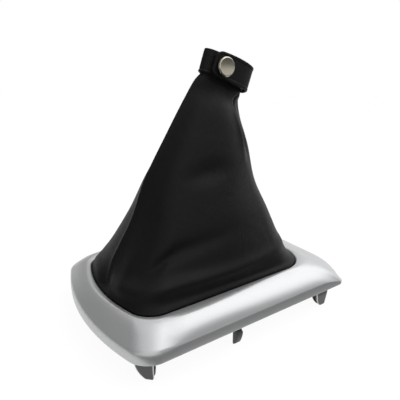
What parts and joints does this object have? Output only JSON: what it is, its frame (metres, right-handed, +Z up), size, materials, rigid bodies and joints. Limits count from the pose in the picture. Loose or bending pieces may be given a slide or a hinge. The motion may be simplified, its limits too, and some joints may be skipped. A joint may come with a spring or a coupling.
{
  "type": "gear lever gaiter",
  "caption": "Sewn black leatherette gear lever boot with a press-stud collar, clamped in a silver moulded console bezel with spring clips below.",
  "frame": {"origin": "under the middle of the whole object's box, level with the tips of the clips", "axes": "+Z up, +X along the bezel towards its square end, +Y across it, away from the press stud"},
  "size_m": [0.1922, 0.1408, 0.1906],
  "materials": {
    "silver_paint": "satin silver paint on moulded plastic",
    "black_plastic": "fine spark texture",
    "leatherette": "fine-grained leatherette",
    "nickel": "nickel plate",
    "spring_steel": "black phosphate",
    "zinc": "zinc plate"
  },
  "bodies": {
    "root": {"bezel": "silver_paint", "retainer": "black_plastic", "near_panel": "leatherette", "far_panel": "leatherette", "collar_band": "leatherette", "strap": "leatherette", "snap_cap": "nickel", "snap_socket": "nickel", "snap_stud": "nickel", "clip_near_left": "spring_steel", "clip_near_right": "spring_steel", "clip_far_left": "spring_steel", "clip_far_right": "spring_steel", "retainer_screw_1": "zinc", "retainer_screw_2": "zinc", "retainer_screw_3": "zinc", "retainer_screw_4": "zinc", "retainer_screw_5": "zinc", "retainer_screw_6": "zinc", "snap_eyelet": "nickel"}
  },
  "joints": []
}
